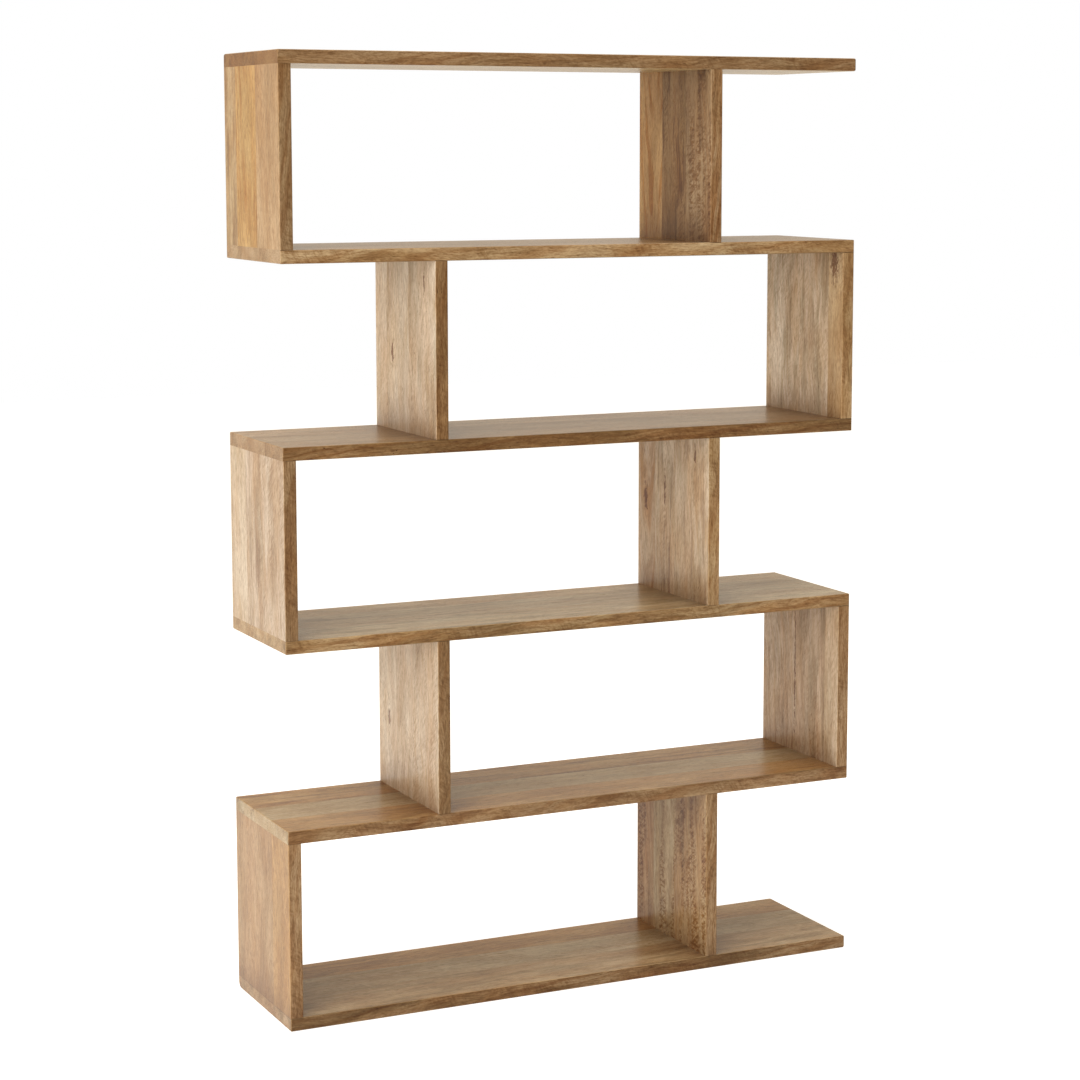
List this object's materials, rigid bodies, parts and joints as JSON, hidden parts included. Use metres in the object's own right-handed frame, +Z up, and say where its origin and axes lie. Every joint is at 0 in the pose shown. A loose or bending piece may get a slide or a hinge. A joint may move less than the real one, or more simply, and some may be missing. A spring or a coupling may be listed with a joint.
{
  "type": "zigzag bookshelf",
  "caption": "Tall open solid-wood bookshelf whose short uprights change sides from tier to tier, so that the frame runs up in a zigzag of wide and narrow bays.",
  "frame": {"origin": "on the floor, under the middle of the lowest shelf", "axes": "+X to the right seen from the front, +Y to the back, +Z up"},
  "size_m": [1.2, 0.3, 1.8],
  "materials": {
    "mango_wood": "satin oil",
    "beech_dowel": "raw"
  },
  "bodies": {
    "root": {"shelf_1_front_stave": "mango_wood", "shelf_1_middle_stave": "mango_wood", "shelf_1_back_stave": "mango_wood", "shelf_2_front_stave": "mango_wood", "shelf_2_middle_stave": "mango_wood", "shelf_2_back_stave": "mango_wood", "shelf_3_front_stave": "mango_wood", "shelf_3_middle_stave": "mango_wood", "shelf_3_back_stave": "mango_wood", "shelf_4_front_stave": "mango_wood", "shelf_4_middle_stave": "mango_wood", "shelf_4_back_stave": "mango_wood", "shelf_5_front_stave": "mango_wood", "shelf_5_middle_stave": "mango_wood", "shelf_5_back_stave": "mango_wood", "shelf_6_front_stave": "mango_wood", "shelf_6_middle_stave": "mango_wood", "shelf_6_back_stave": "mango_wood", "tier_1_left_upright_front_stave": "mango_wood", "tier_1_left_upright_middle_stave": "mango_wood", "tier_1_left_upright_back_stave": "mango_wood", "tier_1_left_dowels": "beech_dowel", "tier_1_right_upright_front_stave": "mango_wood", "tier_1_right_upright_middle_stave": "mango_wood", "tier_1_right_upright_back_stave": "mango_wood", "tier_1_right_dowels": "beech_dowel", "tier_2_left_upright_front_stave": "mango_wood", "tier_2_left_upright_middle_stave": "mango_wood", "tier_2_left_upright_back_stave": "mango_wood", "tier_2_left_dowels": "beech_dowel", "tier_2_right_upright_front_stave": "mango_wood", "tier_2_right_upright_middle_stave": "mango_wood", "tier_2_right_upright_back_stave": "mango_wood", "tier_2_right_dowels": "beech_dowel", "tier_3_left_upright_front_stave": "mango_wood", "tier_3_left_upright_middle_stave": "mango_wood", "tier_3_left_upright_back_stave": "mango_wood", "tier_3_left_dowels": "beech_dowel", "tier_3_right_upright_front_stave": "mango_wood", "tier_3_right_upright_middle_stave": "mango_wood", "tier_3_right_upright_back_stave": "mango_wood", "tier_3_right_dowels": "beech_dowel", "tier_4_left_upright_front_stave": "mango_wood", "tier_4_left_upright_middle_stave": "mango_wood", "tier_4_left_upright_back_stave": "mango_wood", "tier_4_left_dowels": "beech_dowel", "tier_4_right_upright_front_stave": "mango_wood", "tier_4_right_upright_middle_stave": "mango_wood", "tier_4_right_upright_back_stave": "mango_wood", "tier_4_right_dowels": "beech_dowel", "tier_5_left_upright_front_stave": "mango_wood", "tier_5_left_upright_middle_stave": "mango_wood", "tier_5_left_upright_back_stave": "mango_wood", "tier_5_left_dowels": "beech_dowel", "tier_5_right_upright_front_stave": "mango_wood", "tier_5_right_upright_middle_stave": "mango_wood", "tier_5_right_upright_back_stave": "mango_wood", "tier_5_right_dowels": "beech_dowel"}
  },
  "joints": []
}
